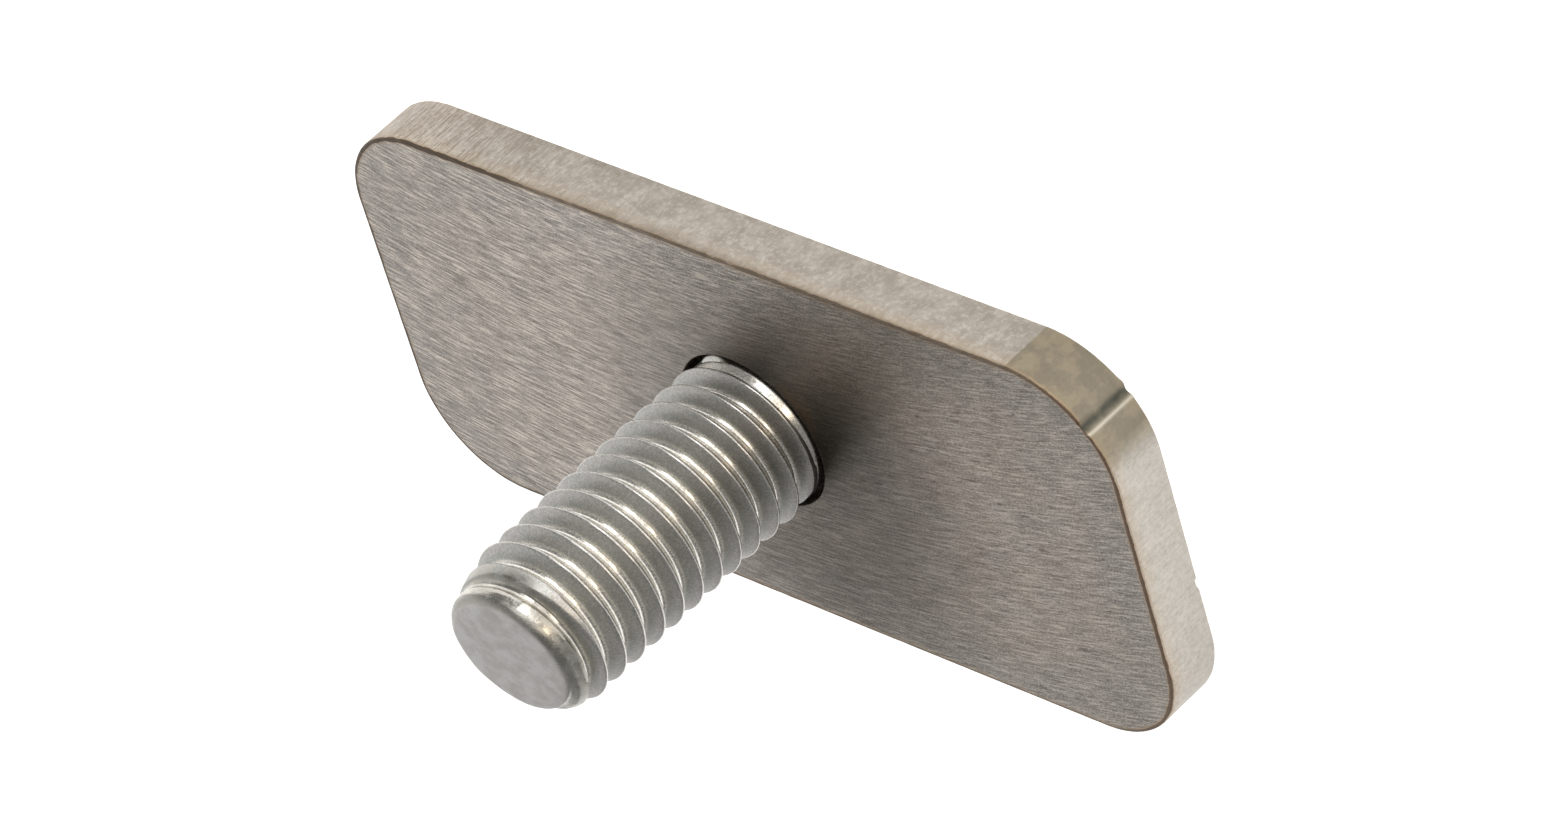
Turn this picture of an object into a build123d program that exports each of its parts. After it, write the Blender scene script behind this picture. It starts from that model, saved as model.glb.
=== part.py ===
from build123d import *
import math
import os

# T-bolt: a round-cornered plate head with a rolled M8 stud held through its middle.
# The stud stands along +Z and the plate's long side lies along X. The origin is on the
# stud's axis, at the plate's back face.

# Plate head, cut from sheet
plate_length = 45.0
plate_width = 20.2
plate_thickness = 2.9
corner_radius = 5.0
edge_break = 0.12

# Stud, M8 x 1.25 right-hand thread as rolled
thread_diameter = 7.87
thread_pitch = 1.25
stud_protrusion = 16.0
tip_bevel_width = 0.7
tip_bevel_angle = 21.0
tip_edge_width = 0.235
tip_edge_angle = 56.0
neck_step = 0.2
neck_height = 0.1
runout_length = 1.25

# Where the thread's ridge starts on the +Y side, hidden below the top of the plain neck
ridge_lead = 1.2475

# Flush round head of the stud, let into the plate's back
head_diameter = 10.6
head_thickness = 1.3
head_edge_break = 0.2
head_clearance = 0.03
shank_clearance = 0.03

# Basic 60 degree thread profile: flank slope, and the shares of the pitch that the depth
# and the crest's width take
flank_slope = math.tan(math.radians(30))
depth_share = 0.6134
crest_share = 0.125

# How far the ridge's base is sunk into the core, and how far the turned outline that
# trims the ridge stands clear of the crest
ridge_sink = 0.1
trim_margin = 0.05

# Radii that follow
crest_radius = thread_diameter / 2
root_radius = crest_radius - depth_share * thread_pitch
neck_radius = crest_radius - neck_step
hole_radius = crest_radius + shank_clearance
head_radius = head_diameter / 2
bevel_end_radius = crest_radius - tip_bevel_width
tip_flat_radius = bevel_end_radius - tip_edge_width
trim_radius = crest_radius + trim_margin
hidden_radius = neck_radius - trim_margin

# Ridge section that follows
ridge_base_radius = root_radius - ridge_sink
crest_half = crest_share * thread_pitch / 2
base_half = crest_half + (crest_radius - ridge_base_radius) * flank_slope

# Heights that follow
neck_top_z = plate_thickness + neck_height
runout_top_z = neck_top_z + runout_length
tip_z = plate_thickness + stud_protrusion
bevel_start_z = tip_z - (trim_radius - bevel_end_radius) / math.tan(math.radians(tip_bevel_angle))
edge_start_z = tip_z - (head_radius - tip_flat_radius) / math.tan(math.radians(tip_edge_angle))
ridge_start_z = neck_top_z - ridge_lead
ridge_height = tip_z + thread_pitch - ridge_start_z
core_top_z = tip_z + 2 * thread_pitch
core_base_z = head_thickness / 2
hidden_top_z = neck_top_z - neck_step
ridge_out_z = neck_top_z + neck_step


with BuildPart() as head_plate:
    with BuildSketch():
        RectangleRounded(plate_length, plate_width, corner_radius)
    extrude(amount=plate_thickness)
    outline_edges = head_plate.edges().group_by(Axis.Z)
    chamfer(outline_edges[0] + outline_edges[-1], edge_break)
    Hole(hole_radius)
    with BuildSketch():
        Circle(head_radius + head_clearance)
    extrude(amount=head_thickness, mode=Mode.SUBTRACT)
head_plate.part.label = "head_plate"


with BuildPart() as threaded_stud:
    # Plain core, left long at the tip
    with BuildSketch(Plane.XZ):
        with BuildLine():
            Polyline(
                (0, core_base_z),
                (root_radius, core_base_z),
                (root_radius, core_top_z),
                (0, core_top_z),
                close=True,
            )
        make_face()
    revolve(axis=Axis.Z)
    # Helical ridge wound round it. It starts a quarter turn away from the plane that the
    # turned outlines stand on.
    with BuildLine() as ridge_path:
        Helix(thread_pitch, ridge_height, root_radius, center=(0, 0, ridge_start_z))
    with BuildSketch(Plane.YZ):
        with BuildLine():
            Polyline(
                (crest_radius, ridge_start_z - crest_half),
                (crest_radius, ridge_start_z + crest_half),
                (ridge_base_radius, ridge_start_z + base_half),
                (ridge_base_radius, ridge_start_z - base_half),
                close=True,
            )
        make_face()
    sweep(path=ridge_path.line.rotate(Axis.Z, 90), is_frenet=True)
    # Trim both to the tip's long bevel, and keep the ridge's start inside the neck
    with BuildSketch(Plane.XZ):
        with BuildLine():
            Polyline(
                (0, 0),
                (hidden_radius, 0),
                (hidden_radius, hidden_top_z),
                (trim_radius, ridge_out_z),
                (trim_radius, bevel_start_z),
                (bevel_end_radius, tip_z),
                (0, tip_z),
                close=True,
            )
        make_face()
    revolve(axis=Axis.Z, mode=Mode.INTERSECT)
    # Break the tip's edge with a short steep bevel
    with BuildSketch(Plane.XZ):
        with BuildLine():
            Polyline(
                (0, 0),
                (head_radius, 0),
                (head_radius, edge_start_z),
                (tip_flat_radius, tip_z),
                (0, tip_z),
                close=True,
            )
        make_face()
    revolve(axis=Axis.Z, mode=Mode.INTERSECT)
    # Head, neck and the cone that the thread runs out on
    with BuildSketch(Plane.XZ):
        with BuildLine():
            Polyline(
                (0, 0),
                (head_radius - head_edge_break, 0),
                (head_radius, head_edge_break),
                (head_radius, head_thickness),
                (neck_radius, head_thickness),
                (neck_radius, neck_top_z),
                (root_radius, runout_top_z),
                (0, runout_top_z),
                close=True,
            )
        make_face()
    revolve(axis=Axis.Z)
threaded_stud.part.label = "threaded_stud"


os.makedirs("parts", exist_ok=True)
export_step(head_plate.part, "parts/head_plate.step")
export_step(threaded_stud.part, "parts/threaded_stud.step")
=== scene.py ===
import math

import bmesh
import bpy
import numpy as np
from mathutils import Matrix, Vector, noise


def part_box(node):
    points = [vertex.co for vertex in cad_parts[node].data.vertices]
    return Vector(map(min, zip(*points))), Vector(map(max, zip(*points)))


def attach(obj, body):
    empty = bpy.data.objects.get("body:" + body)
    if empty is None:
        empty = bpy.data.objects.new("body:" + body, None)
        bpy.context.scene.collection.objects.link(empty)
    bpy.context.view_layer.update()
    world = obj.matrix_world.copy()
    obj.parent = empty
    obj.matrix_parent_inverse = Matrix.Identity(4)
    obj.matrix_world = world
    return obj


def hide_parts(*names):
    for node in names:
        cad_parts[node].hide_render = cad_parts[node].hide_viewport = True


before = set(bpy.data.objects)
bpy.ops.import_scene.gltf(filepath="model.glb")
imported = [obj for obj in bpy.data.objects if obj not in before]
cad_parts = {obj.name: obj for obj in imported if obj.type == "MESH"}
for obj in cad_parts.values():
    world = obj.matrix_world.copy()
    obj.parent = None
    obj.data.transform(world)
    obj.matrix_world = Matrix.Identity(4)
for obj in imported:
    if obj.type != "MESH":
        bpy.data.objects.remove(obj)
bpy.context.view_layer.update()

# The scene's unit is the metre. Lengths are written in millimetres times MM, except inside
# the materials, whose nodes work in millimetres.
MM = 0.001

# Sizes read from the frame
PLATE_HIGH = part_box("head_plate")[1]
STUD_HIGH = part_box("threaded_stud")[1]
HALF_LENGTH = PLATE_HIGH.x
HALF_WIDTH = PLATE_HIGH.y
THICKNESS = PLATE_HIGH.z
TIP_Z = STUD_HIGH.z
HEAD_RADIUS = STUD_HIGH.x

# Azimuths across the photograph's view, down to the right, and straight away from its camera
ACROSS = math.radians(134.3)
AWAY = math.radians(44.3)

# Plate, with a hole that is a little wider across the view
CORNER_RADIUS = 5.0 * MM
EDGE_BREAK = 0.12 * MM
EDGE_ROUND = 0.035 * MM
HOLE_RADIUS = 3.965 * MM
HOLE_STRETCH = 0.1 * MM
HOLE_EDGE = 0.03 * MM
HEAD_THICKNESS = 1.3 * MM
POCKET_RADIUS = HEAD_RADIUS + 0.03 * MM
OUTLINE_STEPS = 1800
WALL_UNEVENNESS = 0.012 * MM
WALL_UNEVENNESS_REACH = 0.6 * MM

# The cutting beam's mark, by its angle from -X on the -X -Y corner's arc. Its parts are told
# by their distance along the arc from it and their half width, both in mm, and their depth.
MARK_ANGLE = math.radians(34.5)
GROOVE = (0.27, 0.24, 0.14 * MM)
LIP = (-0.1, 0.08, -0.05 * MM)
FRONT_DENT = (0.1, 0.3, 0.08 * MM)
BACK_BUMP = (0.55, 0.25, -0.1 * MM)
STAIN_START = (-2.7, -1.1)
STAIN_END = (4.7, 4.8)

# A nick in the back edge of the -X wall: its y, its half width and its depth
NICK = (2.3, 0.25, 0.14 * MM)

# Edge distance, in mm, given to places that are far from the front edge
FAR_FROM_EDGE = 6.0

# Thread, M8 x 1.25
CREST_RADIUS = 3.935 * MM
PITCH = 1.25 * MM
THREAD_DEPTH = 0.767 * MM
SLOPE = math.radians(60)
CREST_ROUND = 0.095 * MM
ROOT_ROUND = (PITCH / 2 * math.tan(SLOPE) - THREAD_DEPTH) - CREST_ROUND
THREAD_PHASE = 0.19 * MM
TURNS = 14
TURN_STEPS = 160
CREST_UNEVENNESS = 0.012 * MM
FLANK_UNEVENNESS = 0.002 * MM

# Neck: it ends in a cone that fills the groove where the thread runs out, first shallow and
# then steep, and stands a little off the axis. A short ridge of pressed metal lies beside it.
NECK_RADIUS = 3.735 * MM
NECK_TOP_Z = THICKNESS + 0.1 * MM
NECK_SHIFT = 0.03 * MM
CONE_RISE = 0.02 * MM
CONE_SLOPE = 0.47
CONE_HEIGHT = 0.47 * MM
STEEP_DROP = 0.2 * MM
STEEP_SLOPE = 1.7
POLISHED_TOP_Z = THICKNESS + 0.6 * MM
CREST_START_Z = NECK_TOP_Z + 0.24 * MM
RIDGE_ANGLE = math.radians(-68)
RIDGE_HALF_WIDTH = 0.21

# Tip: a long shallow bevel that is wider on one side, a rounded edge, and a face that leans,
# sinks towards its rim and is slightly uneven
BEVEL_END_RADIUS = 3.2 * MM
BEVEL_ANGLE = math.radians(21)
BEVEL_SHIFT_ACROSS = 0.16 * MM
BEVEL_SHIFT_AWAY = 0.1 * MM
TIP_ROUND = 0.6 * MM
TIP_FLAT_EDGE_Z = TIP_Z - TIP_ROUND + TIP_ROUND * math.sin(BEVEL_ANGLE)
TIP_LEAN = 0.1
TIP_SINK = 0.12 * MM
TIP_RISE = 0.1 * MM
TIP_UNEVENNESS = 0.03 * MM
TIP_UNEVENNESS_REACH = 1.2 * MM
TIP_REACH = 2.4 * MM

# Materials: centres of the brushing's arcs and of the painted shade round the stud, a direction
# towards the painted reflection in front of the neck, and the arcs' radius, in mm
BRUSH_CENTRE = (5.0, -85.0, 0.0)
BRUSH_RADIUS = 85.0
PAINTED_SHADE_CENTRE = (-1.6, 1.8, 0.0)
NECK_REFLECTION_AZIMUTH = math.radians(215)
NECK_REFLECTION_DIRECTION = (math.cos(NECK_REFLECTION_AZIMUTH), math.sin(NECK_REFLECTION_AZIMUTH), 0.0)
NECK_REFLECTION_RADIUS = 4.45
LEVEL = (1, 1, 0)


# Helpers

def smooth_min(a, b, reach):
    """The lesser of two values, rounded where they are nearly equal."""
    return 0.5 * (a + b - np.sqrt((a - b) ** 2 + reach ** 2))


def smooth_max(a, b, reach):
    """The greater of two values, rounded where they are nearly equal."""
    return 0.5 * (a + b + np.sqrt((a - b) ** 2 + reach ** 2))


def smooth_step(low, high, value):
    """0 below low, 1 above high, and an even curve between them."""
    share = np.clip((value - low) / (high - low), 0.0, 1.0)
    return share * share * (3 - 2 * share)


def hump(place, middle, half_width, power=2):
    """1 at the middle and falling to nothing beside it. A higher power makes it squarer."""
    return math.exp(-((place - middle) / half_width) ** power)


def heading(azimuth, elevation):
    """The direction at an azimuth and an elevation in degrees."""
    spin, lift = math.radians(azimuth), math.radians(elevation)
    level = math.cos(lift)
    return Vector((math.cos(spin) * level, math.sin(spin) * level, math.sin(lift)))


def mesh_piece(name, points, faces, values, material):
    """A smooth-shaded closed mesh on the part's one body, with named values at its points."""
    mesh = bpy.data.meshes.new(name)
    mesh.from_pydata([tuple(p) for p in points], [], faces)
    for key, numbers in values.items():
        mesh.attributes.new(key, "FLOAT", "POINT").data.foreach_set("value", numbers)
    join_distance = 0.0002 * MM
    work = bmesh.new()
    work.from_mesh(mesh)
    bmesh.ops.remove_doubles(work, verts=work.verts, dist=join_distance)
    bmesh.ops.dissolve_degenerate(work, edges=work.edges, dist=join_distance)
    bmesh.ops.recalc_face_normals(work, faces=work.faces)
    work.to_mesh(mesh)
    work.free()
    mesh.shade_smooth()
    mesh.set_sharp_from_angle(angle=math.radians(40))
    piece = bpy.data.objects.new(name, mesh)
    bpy.context.scene.collection.objects.link(piece)
    mesh.materials.append(material)
    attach(piece, "root")
    return piece


# Shader nodes

class Nodes:
    """Short calls that add nodes to a tree.

    A value is a number, a vector or another node's output.
    """

    def __init__(self, tree):
        self.tree = tree

    def add(self, kind, values, output, **settings):
        node = self.tree.nodes.new(kind)
        for key, value in settings.items():
            setattr(node, key, value)
        for key, value in values.items():
            if isinstance(value, bpy.types.NodeSocket):
                self.tree.links.new(value, node.inputs[key])
            else:
                node.inputs[key].default_value = value
        return node.outputs[output]

    def place(self):
        """The point's place in the object's frame, in millimetres."""
        place = self.add("ShaderNodeTexCoord", {}, "Object")
        return self.add("ShaderNodeVectorMath", {0: place, 3: 1 / MM}, "Vector", operation="SCALE")

    def stored(self, name):
        return self.add("ShaderNodeAttribute", {}, "Fac", attribute_name=name)

    def math(self, operation, *values):
        return self.add("ShaderNodeMath", dict(enumerate(values)), 0, operation=operation)

    def plus(self, first, second):
        return self.math("ADD", first, second)

    def times(self, first, second):
        return self.math("MULTIPLY", first, second)

    def vector(self, operation, *values):
        output = "Value" if operation in ("LENGTH", "DOT_PRODUCT") else "Vector"
        values = dict(enumerate(values))
        return self.add("ShaderNodeVectorMath", values, output, operation=operation)

    def level_part(self, vector):
        """A vector without its height."""
        return self.vector("MULTIPLY", vector, LEVEL)

    def parts(self, vector):
        node = self.tree.nodes.new("ShaderNodeSeparateXYZ")
        self.tree.links.new(vector, node.inputs[0])
        return node.outputs

    def joined(self, x, y, z):
        return self.add("ShaderNodeCombineXYZ", {0: x, 1: y, 2: z}, 0)

    def noise(self, place, scale, detail=2.0, roughness=0.5):
        values = {"Vector": place, "Scale": scale, "Detail": detail, "Roughness": roughness}
        return self.add("ShaderNodeTexNoise", values, 0)

    def ranged(self, value, low, high, start=0.0, end=1.0, curve="SMOOTHSTEP"):
        values = {"Value": value, "From Min": low, "From Max": high, "To Min": start, "To Max": end}
        return self.add("ShaderNodeMapRange", values, 0, interpolation_type=curve)

    def mix(self, share, first, second):
        colours = [c if isinstance(c, bpy.types.NodeSocket) else (*c, 1) for c in (first, second)]
        values = {0: share, 6: colours[0], 7: colours[1]}
        return self.add("ShaderNodeMix", values, 2, data_type="RGBA")

    def bump(self, height, distance, strength):
        values = {"Height": height, "Distance": distance, "Strength": strength}
        return self.add("ShaderNodeBump", values, "Normal")


def new_metal(name):
    """An empty metal material: the material, its node maker and its shader's inputs."""
    material = bpy.data.materials.new(name)
    material.use_nodes = True
    shader = material.node_tree.nodes["Principled BSDF"]
    shader.inputs["Metallic"].default_value = 1.0
    return material, Nodes(material.node_tree), shader.inputs


# Plate material: brushed in long arcs on its faces, cut across its thickness on its walls

class PlateNodes:
    """The patterns that the plate's colours, roughness and bump share."""

    def __init__(self, n):
        self.place = n.place()
        self.x, self.y, self.z = n.parts(self.place)
        self.edge = n.stored("edge_mm")
        # Brushing: streaks round a far centre, so across them the distance from it counts
        self.from_brush = n.level_part(n.vector("SUBTRACT", self.place, BRUSH_CENTRE))
        self.across = n.vector("LENGTH", self.from_brush)
        out_x, out_y, _ = n.parts(self.from_brush)
        self.along = n.times(n.math("ARCTAN2", out_y, out_x), BRUSH_RADIUS)
        streaks = n.noise(self.brushed(n, 0.5, 8.5, self.z), 1.0, 4.0, 0.65)
        fine = n.noise(self.brushed(n, 1.1, 18.0, self.z), 1.0, 3.0, 0.6)
        self.brush = n.plus(n.times(streaks, 0.5), n.times(fine, 0.5))
        self.grain = n.noise(self.place, 9.0, 3.0, 0.7)
        self.cloud = n.noise(self.place, 0.35, 3.0, 0.55)
        # Walls: lines across the thickness, blotches and speckle
        self.lines = n.noise(n.vector("MULTIPLY", self.place, (15.0, 15.0, 1.2)), 1.0, 3.0, 0.6)
        self.blotch = n.noise(self.place, 0.9, 4.0, 0.6)
        self.speckle = n.noise(self.place, 5.0, 4.0, 0.7)
        # 1 on the front and back faces, 0 on the walls
        upright = n.parts(n.add("ShaderNodeNewGeometry", {}, "Normal"))[2]
        self.is_face = n.ranged(n.math("ABSOLUTE", upright), 0.5, 0.9)

    def brushed(self, n, along_scale, across_scale, third):
        """A place to read noise at, stretched along the brushing."""
        along = n.times(self.along, along_scale)
        return n.joined(along, n.times(self.across, across_scale), third)


def face_colour(n, p):
    """Warm grey, cooler in clouds and near the edge, with streaks and painted shade and light."""
    near_edge = n.ranged(n.plus(p.edge, n.times(p.grain, 0.5)), 0.8, 5.5, 1.0, 0.0)
    clouds = n.ranged(p.cloud, 0.4, 0.62)
    face = n.mix(clouds, (0.332, 0.285, 0.241), (0.308, 0.274, 0.242))
    face = n.mix(n.times(near_edge, 0.65), face, (0.235, 0.225, 0.21))

    # Light and dark streaks, which stand out most at the +X end
    clear = n.ranged(p.x, -10.0, 12.0, 0.42, 1.0)
    light_streaks = n.times(n.ranged(p.brush, 0.50, 0.58), clear)
    dark_streaks = n.times(n.ranged(p.brush, 0.49, 0.41), clear)
    face = n.mix(n.times(light_streaks, 0.95), face, (0.70, 0.62, 0.53))
    face = n.mix(n.times(dark_streaks, 0.9), face, (0.10, 0.082, 0.066))
    face = n.mix(n.ranged(p.grain, 0.50, 0.36, 0.0, 0.4), face, (0.12, 0.10, 0.08))
    face = n.mix(n.ranged(p.grain, 0.50, 0.64, 0.0, 0.4), face, (0.62, 0.56, 0.49))

    # Short dark marks along the brushing, most of them towards the -X end
    dashes = n.noise(p.brushed(n, 0.8, 4.5, 3.0), 1.0, 3.0, 0.7)
    dashed = n.times(n.ranged(dashes, 0.60, 0.68), n.ranged(p.x, 4.0, -12.0, 0.2, 0.7))
    face = n.mix(dashed, face, (0.10, 0.085, 0.07))

    # Painted shade round the stud, and painted light brightening the +X end
    from_painted_shade = n.level_part(n.vector("SUBTRACT", p.place, PAINTED_SHADE_CENTRE))
    from_painted_shade = n.plus(n.vector("LENGTH", from_painted_shade), n.times(p.cloud, 2.0))
    face = n.mix(n.ranged(from_painted_shade, 6.0, 15.0, 0.62, 0.0), face, (0.05, 0.042, 0.035))
    face = n.mix(n.ranged(p.x, -3.0, 8.0, 0.0, 0.14), face, (1.0, 0.94, 0.88))

    # A painted brown reflection of the neck on the face in front of it
    radial = n.level_part(p.place)
    from_ring = n.math("ABSOLUTE", n.math("SUBTRACT", n.vector("LENGTH", radial), NECK_REFLECTION_RADIUS))
    ring = n.ranged(from_ring, 0.0, 0.45, 0.4, 0.0)
    facing = n.vector("DOT_PRODUCT", n.vector("NORMALIZE", radial), NECK_REFLECTION_DIRECTION)
    tint = n.times(ring, n.ranged(facing, 0.93, 0.985))
    return n.mix(tint, face, (0.36, 0.25, 0.16))


def wall_colour(n, p):
    """Mottled beige with cut lines at the +X end, and an olive stain from the beam's heat."""
    wall = n.mix(n.ranged(p.blotch, 0.38, 0.62), (0.33, 0.295, 0.255), (0.41, 0.375, 0.33))

    # Paler at both ends, as painted light at -X, greyer towards +Y on -X and tan by the front edge
    wall = n.mix(n.ranged(p.x, -17.0, -22.3, 0.0, 0.7), wall, (0.56, 0.535, 0.495))
    wall = n.mix(n.ranged(p.x, 12.0, 20.0, 0.0, 0.5), wall, (0.52, 0.46, 0.40))
    greyer = n.times(n.ranged(p.y, 2.0, 8.0, 0.0, 0.4), n.ranged(p.x, -15.0, -20.0))
    wall = n.mix(greyer, wall, (0.33, 0.30, 0.27))
    front = n.ranged(n.plus(p.edge, n.times(p.blotch, 1.2)), 0.6, 1.7, 0.5, 0.0)
    wall = n.mix(front, wall, (0.47, 0.385, 0.285))

    cut = n.times(n.ranged(p.lines, 0.54, 0.40), n.ranged(p.x, 4.0, 18.0, 0.15, 0.85))
    wall = n.mix(cut, wall, (0.24, 0.195, 0.15))
    wall = n.mix(n.ranged(p.speckle, 0.5, 0.36, 0.0, 0.22), wall, (0.25, 0.23, 0.20))
    wall = n.mix(n.ranged(p.speckle, 0.5, 0.64, 0.0, 0.25), wall, (0.66, 0.63, 0.58))
    stain = n.mix(n.ranged(p.blotch, 0.40, 0.60), (0.20, 0.17, 0.12), (0.27, 0.225, 0.15))
    return n.mix(n.times(n.stored("stain"), 0.85), wall, stain)


def burn_edge(n, p, colour):
    """The burnt line along the front edge: uneven, faint in the middle, with rust beside it."""
    wander = n.ranged(n.noise(p.place, 1.3, 4.0, 0.6), 0.3, 0.7, 0.0, 0.075, "LINEAR")
    minus_end = n.ranged(p.x, -17.0, -21.0)
    plus_end = n.ranged(p.x, 8.0, 14.0)
    ends = n.math("MAXIMUM", minus_end, plus_end)
    width = n.plus(wander, n.times(plus_end, 0.03))
    from_edge = n.math("SUBTRACT", p.edge, n.times(p.grain, 0.05))
    burnt = n.math("LESS_THAN", from_edge, width)
    burnt = n.times(burnt, n.ranged(ends, 0.0, 1.0, 0.6, 0.85))
    rust = n.math("LESS_THAN", from_edge, n.plus(width, 0.09))
    colour = n.mix(n.times(rust, 0.45), colour, (0.38, 0.27, 0.17))
    scorch = n.mix(minus_end, (0.07, 0.05, 0.035), (0.15, 0.10, 0.07))
    return n.mix(burnt, colour, scorch)


def plate_material():
    material, n, shader = new_metal("brushed_plate")
    link = material.node_tree.links.new
    p = PlateNodes(n)

    colour = n.mix(p.is_face, wall_colour(n, p), face_colour(n, p))
    colour = burn_edge(n, p, colour)
    groove = n.times(n.stored("groove"), n.ranged(p.blotch, 0.35, 0.6, 0.95, 0.7))
    colour = n.mix(groove, colour, (0.06, 0.065, 0.055))
    colour = n.mix(n.times(n.stored("lip"), 0.7), colour, (0.70, 0.66, 0.55))
    link(colour, shader["Base Color"])

    rough = n.ranged(p.is_face, 0.0, 1.0, 0.46, 0.42, "LINEAR")
    rough = n.plus(rough, n.ranged(p.brush, 0.35, 0.65, 0.06, -0.06, "LINEAR"))
    link(rough, shader["Roughness"])

    # Reflections spread across the brushing
    shader["Anisotropic"].default_value = 0.75
    link(n.vector("NORMALIZE", p.from_brush), shader["Tangent"])

    face_height = n.times(p.brush, p.is_face)
    wall_height = n.times(n.plus(p.lines, n.times(p.speckle, 0.3)), 0.4)
    wall_height = n.times(wall_height, n.math("SUBTRACT", 1.0, p.is_face))
    link(n.bump(n.plus(face_height, wall_height), 0.02 * MM, 0.7), shader["Normal"])
    return material


# Stud material: grainy flanks with painted shade down them, shinier crests and roots with a painted
# pale highlight, a patchy polished bevel with painted shade, and a dull mottled tip

def stud_material():
    material, n, shader = new_metal("rolled_stud")
    link = material.node_tree.links.new
    place = n.place()
    depth = n.stored("depth")
    tip = n.stored("tip")
    grain = n.noise(place, 11.0, 3.0, 0.75)
    blotch = n.noise(place, 1.4, 4.0, 0.6)
    crest = n.ranged(depth, 0.10, 0.0, 0.0, 0.7)
    root = n.ranged(depth, 0.72, 0.95)
    bright = n.math("MAXIMUM", crest, root)
    bevel = n.ranged(n.parts(place)[2], 17.1, 17.7)

    colour = n.mix(n.ranged(blotch, 0.4, 0.6), (0.50, 0.495, 0.47), (0.55, 0.525, 0.505))
    # Painted shade: darker down the flanks towards the roots
    colour = n.mix(n.ranged(depth, 0.15, 0.7, 0.0, 0.5), colour, (0.32, 0.33, 0.30))
    # Painted highlight: pale cream on the roots, and at half strength on the crests
    pale = n.math("MAXIMUM", n.times(crest, 0.5), root)
    colour = n.mix(pale, colour, (0.80, 0.765, 0.70))
    colour = n.mix(n.ranged(grain, 0.52, 0.38, 0.0, 0.5), colour, (0.27, 0.26, 0.24))
    colour = n.mix(n.ranged(grain, 0.52, 0.66, 0.0, 0.4), colour, (0.80, 0.78, 0.75))

    # Painted shade on the bevel, darker and browner in blotches
    bevel_shade = n.times(bevel, n.ranged(blotch, 0.35, 0.65, 0.2, 0.7))
    colour = n.mix(bevel_shade, colour, (0.34, 0.32, 0.275))
    mottle = n.mix(n.ranged(blotch, 0.35, 0.65), (0.46, 0.44, 0.425), (0.56, 0.545, 0.53))
    mottle = n.mix(n.ranged(grain, 0.3, 0.7, 0.0, 0.2), mottle, (0.30, 0.29, 0.28))
    link(n.mix(tip, colour, mottle), shader["Base Color"])

    rough = n.ranged(bright, 0.0, 1.0, 0.40, 0.24, "LINEAR")
    polish = n.times(bevel, n.ranged(blotch, 0.42, 0.58, 0.0, 0.12))
    rough = n.math("SUBTRACT", rough, polish)
    rough = n.plus(rough, n.ranged(grain, 0.3, 0.7, -0.04, 0.06, "LINEAR"))
    rough = n.math("MAXIMUM", n.math("MAXIMUM", rough, 0.18), n.times(tip, 0.5))
    link(rough, shader["Roughness"])

    pits = n.times(grain, n.ranged(bright, 0.0, 1.0, 1.0, 0.3))
    dents = n.times(n.noise(place, 1.6, 1.0, 0.5), n.times(bevel, 1.6))
    link(n.bump(n.plus(pits, dents), 0.012 * MM, 0.6), shader["Normal"])
    return material


# Stud

def thread_profile():
    """One pitch of the thread, from its crest up to the next.

    Heights are above the crest, and depths below it.
    """
    def arc(radius, start, end, count):
        angles = np.linspace(start, end, count)
        return radius * np.sin(angles), radius * (1 - np.cos(angles))

    crest_heights, crest_depths = arc(CREST_ROUND, 0, SLOPE, 4)
    root_heights, root_rises = arc(ROOT_ROUND, -SLOPE, SLOPE, 9)
    root_heights = PITCH / 2 + root_heights
    root_depths = THREAD_DEPTH - root_rises
    heights = list(crest_heights)
    depths = list(crest_depths)
    for share in (0.25, 0.5, 0.75):
        heights.append(crest_heights[-1] + share * (root_heights[0] - crest_heights[-1]))
        depths.append(crest_depths[-1] + share * (root_depths[0] - crest_depths[-1]))
    heights += list(root_heights)
    depths += list(root_depths)
    # The upper flank mirrors the lower one
    heights += [PITCH - h for h in heights[6:0:-1]]
    depths += depths[6:0:-1]
    return np.array(heights), np.array(depths)


def head_rows(angle):
    """The stud's head and neck, up to where the thread's rows start."""
    from_ridge = math.remainder(angle - RIDGE_ANGLE, 2 * math.pi)
    ridge = hump(from_ridge, 0.0, RIDGE_HALF_WIDTH, 4) * MM
    return [
        (0.0, 0.0),
        (0.5 * HEAD_RADIUS, 0.0),
        (HEAD_RADIUS - 0.2 * MM, 0.0),
        (HEAD_RADIUS - 0.05 * MM, 0.06 * MM),
        (HEAD_RADIUS, 0.2 * MM),
        (HEAD_RADIUS, HEAD_THICKNESS),
        (NECK_RADIUS, HEAD_THICKNESS),
        (NECK_RADIUS, 0.5 * (HEAD_THICKNESS + NECK_TOP_Z)),
        (NECK_RADIUS + 0.17 * ridge, THICKNESS - 0.3 * MM),
        (NECK_RADIUS + 0.19 * ridge, THICKNESS - 0.16 * MM),
        (NECK_RADIUS + 0.15 * ridge, THICKNESS - 0.1 * MM),
        (NECK_RADIUS + 0.04 * ridge, THICKNESS - 0.02 * MM),
        (NECK_RADIUS - 0.04 * ridge, THICKNESS + 0.02 * MM),
    ]


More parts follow.
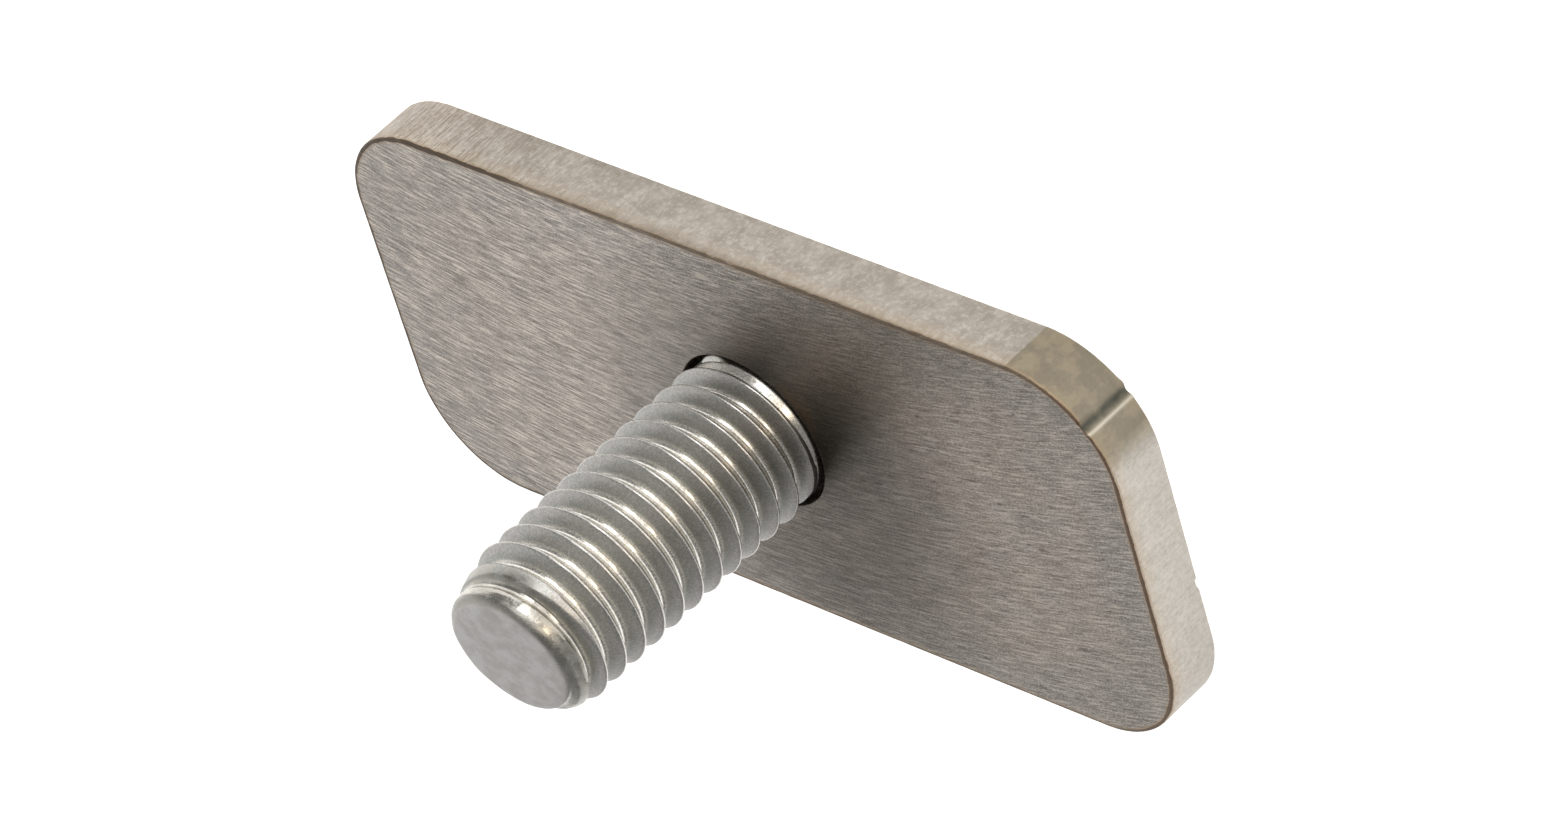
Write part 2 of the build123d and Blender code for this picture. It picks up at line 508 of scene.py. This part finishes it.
def stud_column(turn):
    """Points up the stud at a share of a turn: radius, height, thread depth's share, tip."""
    angle = 2 * math.pi * turn
    heights, depths = thread_profile()
    starts = THREAD_PHASE + (np.arange(TURNS + 1) + 1 + turn) * PITCH
    z = (starts[:, None] + heights[None, :]).ravel()
    depths = np.tile(depths, TURNS + 1)
    spots = [
        noise.noise(Vector((9 * math.cos(angle), 9 * math.sin(angle), height / MM)))
        for height in z
    ]
    unevenness = np.where(depths < 0.08 * MM, CREST_UNEVENNESS, FLANK_UNEVENNESS)
    thread = CREST_RADIUS - depths + unevenness * np.array(spots)

    # The cone, the thread's start beside it and the bevel bound the thread
    above = z - THICKNESS
    shallow = NECK_RADIUS + CONE_RISE - CONE_SLOPE * above
    steep = NECK_RADIUS - STEEP_DROP - STEEP_SLOPE * (above - CONE_HEIGHT)
    cone = smooth_min(shallow, steep, 0.03 * MM)
    radius = smooth_max(thread, np.minimum(cone, NECK_RADIUS), 0.03 * MM)
    shoulder = NECK_RADIUS + np.maximum(0.0, z - CREST_START_Z)
    radius = smooth_min(radius, shoulder, 0.02 * MM)
    bevel_end = (
        BEVEL_END_RADIUS
        + BEVEL_SHIFT_ACROSS * math.cos(angle - ACROSS)
        + BEVEL_SHIFT_AWAY * math.cos(angle - AWAY)
    )
    radius = smooth_min(radius, bevel_end + (TIP_Z - z) * math.tan(BEVEL_ANGLE), 0.05 * MM)

    # Rows beyond the neck's top and the bevel's end close up there
    keep = np.clip(z, NECK_TOP_Z - 0.05 * MM, TIP_FLAT_EDGE_Z)
    radius = np.interp(keep, z, radius)
    share = np.clip((CREST_RADIUS - radius) / THREAD_DEPTH, 0.0, 1.0)
    share = np.where((keep < POLISHED_TOP_Z) & (cone > thread), 1.0, share)
    middle = list(zip(radius, keep, share, np.zeros(len(z))))

    # Round over the tip's edge, and in across its face
    centre_radius = bevel_end + TIP_ROUND * (math.tan(BEVEL_ANGLE) - 1 / math.cos(BEVEL_ANGLE))
    cap = []
    for share_up in np.linspace(0, 1, 8)[1:]:
        lift = BEVEL_ANGLE + share_up * (math.pi / 2 - BEVEL_ANGLE)
        height = TIP_Z - TIP_ROUND + TIP_ROUND * math.sin(lift)
        groove = np.interp(height, z, thread)
        r = smooth_min(centre_radius + TIP_ROUND * math.cos(lift), groove, 0.03 * MM)
        cap.append((float(r), height, 0.5, float(smooth_step(0.5, 0.95, share_up))))
    for share_in in (0.94, 0.85, 0.7, 0.55, 0.4, 0.25, 0.12, 0.0):
        cap.append((share_in * centre_radius, TIP_Z, 0.5, 1.0))
    return [(r, height, 0.0, 0.0) for r, height in head_rows(angle)] + middle + cap


def settle(point):
    """Move a point of the stud: the neck off its axis, and the tip's face to its lean."""
    x, y, z = point
    if z > HEAD_THICKNESS:
        shift = NECK_SHIFT * float(smooth_step(NECK_TOP_Z + 0.4 * MM, THICKNESS - 0.2 * MM, z))
        x -= shift * math.cos(AWAY)
        y -= shift * math.sin(AWAY)
    part = float(smooth_step(TIP_Z - TIP_REACH, TIP_Z, z))
    across = x * math.cos(ACROSS) + y * math.sin(ACROSS)
    spread = min(1.0, math.hypot(x, y) / BEVEL_END_RADIUS)
    drop = TIP_LEAN * across + TIP_SINK * spread ** 3 - TIP_RISE
    drop += TIP_UNEVENNESS * noise.noise(Vector((x, y, 0.0)) / TIP_UNEVENNESS_REACH)
    return (x, y, z - part * drop)


def make_stud(material):
    points, depths, tips = [], [], []
    for step in range(TURN_STEPS + 1):
        turn = step / TURN_STEPS
        along_x, along_y = math.cos(2 * math.pi * turn), math.sin(2 * math.pi * turn)
        for r, z, depth, tip in stud_column(turn):
            points.append(settle((r * along_x, r * along_y, z)))
            depths.append(depth)
            tips.append(tip)
    rows = len(points) // (TURN_STEPS + 1)
    faces = []
    for step in range(TURN_STEPS):
        for row in range(rows - 1):
            a = step * rows + row
            faces.append((a, a + rows, a + rows + 1, a + 1))
    values = {"depth": depths, "tip": tips}
    piece = mesh_piece("stud_body", points, faces, values, material)
    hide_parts("threaded_stud")


# Plate

def outline_points(count):
    """Points round the plate's outline, evenly spaced, with their outward directions."""
    straight_x = HALF_LENGTH - CORNER_RADIUS
    straight_y = HALF_WIDTH - CORNER_RADIUS
    arc = 0.5 * math.pi * CORNER_RADIUS
    runs = [2 * straight_y, arc, 2 * straight_x, arc] * 2
    total = sum(runs)
    places = []
    for index in range(count):
        left = index / count * total
        side = 0
        while left > runs[side]:
            left -= runs[side]
            side += 1
        quarter = side // 2
        turn = Matrix.Rotation(quarter * 0.5 * math.pi, 2)
        if quarter % 2 == 0:
            half_out, half_along = HALF_LENGTH, straight_y
        else:
            half_out, half_along = HALF_WIDTH, straight_x
        if side % 2 == 0:
            place = Vector((half_out, -half_along + left))
            out = Vector((1.0, 0.0))
        else:
            angle = left / CORNER_RADIUS
            out = Vector((math.cos(angle), math.sin(angle)))
            place = Vector((half_out - CORNER_RADIUS, half_along)) + CORNER_RADIUS * out
        places.append((turn @ place, turn @ out))
    return places


def corner_angle(place):
    """Angle about the centre of the -X -Y corner's arc: 0 towards -X, a right angle towards -Y."""
    x = -(place.x + HALF_LENGTH - CORNER_RADIUS)
    y = -(place.y + HALF_WIDTH - CORNER_RADIUS)
    return math.atan2(y, x)


def wall_inset(place, z, from_mark):
    """How far in the wall lies at a place and a height, for the beam's mark and the nick."""
    inset = hump(from_mark, *GROOVE[:2]) * GROOVE[2] + hump(from_mark, *LIP[:2]) * LIP[2]
    if z > 0.9 * THICKNESS:
        inset += hump(from_mark, *FRONT_DENT[:2]) * FRONT_DENT[2]
    if z < 0.3 * THICKNESS:
        inset += hump(from_mark, *BACK_BUMP[:2]) * BACK_BUMP[2]
        if place.x < 0:
            inset += hump(place.y / MM, *NICK[:2], 4) * NICK[2]
    return inset


def plate_row(place, out):
    """One closed row round the plate's section: points, and the values stored at them."""
    radial = place.normalized()
    hole = HOLE_RADIUS + HOLE_STRETCH * math.cos(math.atan2(place.y, place.x) - ACROSS) ** 2
    from_mark = (corner_angle(place) - MARK_ANGLE) * CORNER_RADIUS / MM
    groove = hump(from_mark, *GROOVE[:2])
    lip = hump(from_mark, *LIP[:2])
    stain = smooth_step(*STAIN_START, from_mark) * (1 - smooth_step(*STAIN_END, from_mark))
    spot = Vector((place.x, place.y, 0.0)) / WALL_UNEVENNESS_REACH
    unevenness = WALL_UNEVENNESS * noise.noise(spot)

    # Up the wall, in and down round the edges: inset and height
    levels = [(EDGE_BREAK, 0.0), (EDGE_ROUND, EDGE_ROUND), (0.0, EDGE_BREAK)]
    levels += [(0.0, share * THICKNESS) for share in (0.2, 0.35, 0.5, 0.65, 0.8)]
    levels += [(0.0, THICKNESS - EDGE_BREAK), (EDGE_ROUND, THICKNESS - EDGE_ROUND)]
    rows = []
    for inset, z in levels:
        deep = inset + wall_inset(place, z, from_mark) - unevenness
        rows.append((place - out * deep, z, (THICKNESS - z) / MM, float(stain), groove, lip))

    # In across the front face, down the hole and the pocket, and out across the back
    for inset in (EDGE_BREAK, 2 * EDGE_BREAK, 0.5 * MM, 1.0 * MM, 2.0 * MM, 3.0 * MM):
        rows.append((place - out * inset, THICKNESS, (inset - EDGE_BREAK) / MM, 0.0, 0.0, 0.0))
    inner = [(radial * (hole + gap), THICKNESS) for gap in (0.6 * MM, 0.3 * MM, 0.03 * MM)]
    inner += [
        (radial * hole, THICKNESS - HOLE_EDGE),
        (radial * hole, HEAD_THICKNESS),
        (radial * POCKET_RADIUS, HEAD_THICKNESS),
        (radial * POCKET_RADIUS, 0.0),
        (radial * (POCKET_RADIUS + 0.3 * MM), 0.0),
        (place - out * 2 * EDGE_BREAK, 0.0),
    ]
    return rows + [(at, z, FAR_FROM_EDGE, 0.0, 0.0, 0.0) for at, z in inner]


def make_plate(material):
    rows = [plate_row(place, out) for place, out in outline_points(OUTLINE_STEPS)]
    count = len(rows[0])
    cells = [cell for row in rows for cell in row]
    points = [(at.x, at.y, z) for at, z, *_ in cells]
    names = ("edge_mm", "stain", "groove", "lip")
    values = {name: [cell[index] for cell in cells] for index, name in enumerate(names, 2)}
    faces = []
    for step in range(OUTLINE_STEPS):
        for row in range(count):
            a = step * count + row
            b = (step + 1) % OUTLINE_STEPS * count + row
            up = 1 if row < count - 1 else 1 - count
            faces.append((a, b, b + up, a + up))
    piece = mesh_piece("plate_body", points, faces, values, material)
    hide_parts("head_plate")


# Stage: a plain pale floor, soft studio light, and the camera

def make_floor():
    mesh = bpy.data.meshes.new("floor")
    reach = 3.0
    corners = [(-reach, -reach, 0), (reach, -reach, 0), (reach, reach, 0), (-reach, reach, 0)]
    mesh.from_pydata(corners, [], [(0, 1, 2, 3)])
    floor = bpy.data.objects.new("floor", mesh)
    floor.location.z = -0.02 * MM
    bpy.context.scene.collection.objects.link(floor)
    material = bpy.data.materials.new("pale_floor")
    material.use_nodes = True
    shader = material.node_tree.nodes["Principled BSDF"]
    shader.inputs["Base Color"].default_value = (0.9, 0.9, 0.9, 1)
    shader.inputs["Roughness"].default_value = 0.9
    shader.inputs["Emission Color"].default_value = (1, 1, 1, 1)
    shader.inputs["Emission Strength"].default_value = 0.85
    mesh.materials.append(material)


def make_world():
    """A dim studio that is brighter low behind the object than overhead or behind the camera."""
    world = bpy.data.worlds.new("studio")
    bpy.context.scene.world = world
    world.use_nodes = True
    n = Nodes(world.node_tree)
    direction = n.add("ShaderNodeTexCoord", {}, "Generated")
    facing = n.vector("DOT_PRODUCT", direction, heading(22, 28))
    strength = n.ranged(facing, 0.35, 0.95, 0.26, 0.95)
    background = world.node_tree.nodes["Background"]
    background.inputs["Color"].default_value = (1, 1, 1, 1)
    world.node_tree.links.new(strength, background.inputs["Strength"])


def area_light(name, azimuth, distance, width, radiance, tint=(1, 1, 1)):
    """A tall soft panel, a little above level, that faces the plate's middle."""
    elevation = 20
    height = 0.5
    data = bpy.data.lights.new(name, "AREA")
    data.shape = "RECTANGLE"
    data.size = width
    data.size_y = height
    data.energy = radiance * math.pi * width * height
    data.color = tint
    lamp = bpy.data.objects.new(name, data)
    lamp.visible_camera = False
    bpy.context.scene.collection.objects.link(lamp)
    direction = heading(azimuth, elevation)
    lamp.location = direction * distance
    lamp.rotation_euler = direction.to_track_quat("Z", "Y").to_euler()


def make_camera():
    """The photograph's view: from beyond the -X -Y corner, rolled so that the stud points left."""
    roll = math.radians(-132.38)
    away = heading(-135.74, 28.82)
    distance = 382.1 * MM
    aim = Vector((-2.34 * MM, -1.49 * MM, THICKNESS))
    data = bpy.data.cameras.new("camera")
    data.sensor_width = 36.0
    data.lens = 204.43
    data.clip_start = 0.01
    data.clip_end = 50.0
    camera = bpy.data.objects.new("camera", data)
    bpy.context.scene.collection.objects.link(camera)
    level = away.to_track_quat("Z", "Y").to_matrix()
    turned = (level @ Matrix.Rotation(roll, 3, "Z")).to_4x4()
    camera.matrix_world = Matrix.Translation(aim + away * distance) @ turned
    bpy.context.scene.camera = camera


def set_stage():
    bpy.context.scene.view_settings.view_transform = "Standard"
    make_floor()
    make_world()
    area_light("left_panel", -103, 0.6, 0.15, 4.0)
    area_light("right_panel", -147, 0.6, 0.13, 3.2, (1.0, 0.88, 0.72))
    area_light("middle_panel", -125, 0.62, 0.16, 1.3, (1.0, 0.95, 0.88))
    make_camera()


make_plate(plate_material())
make_stud(stud_material())
set_stage()
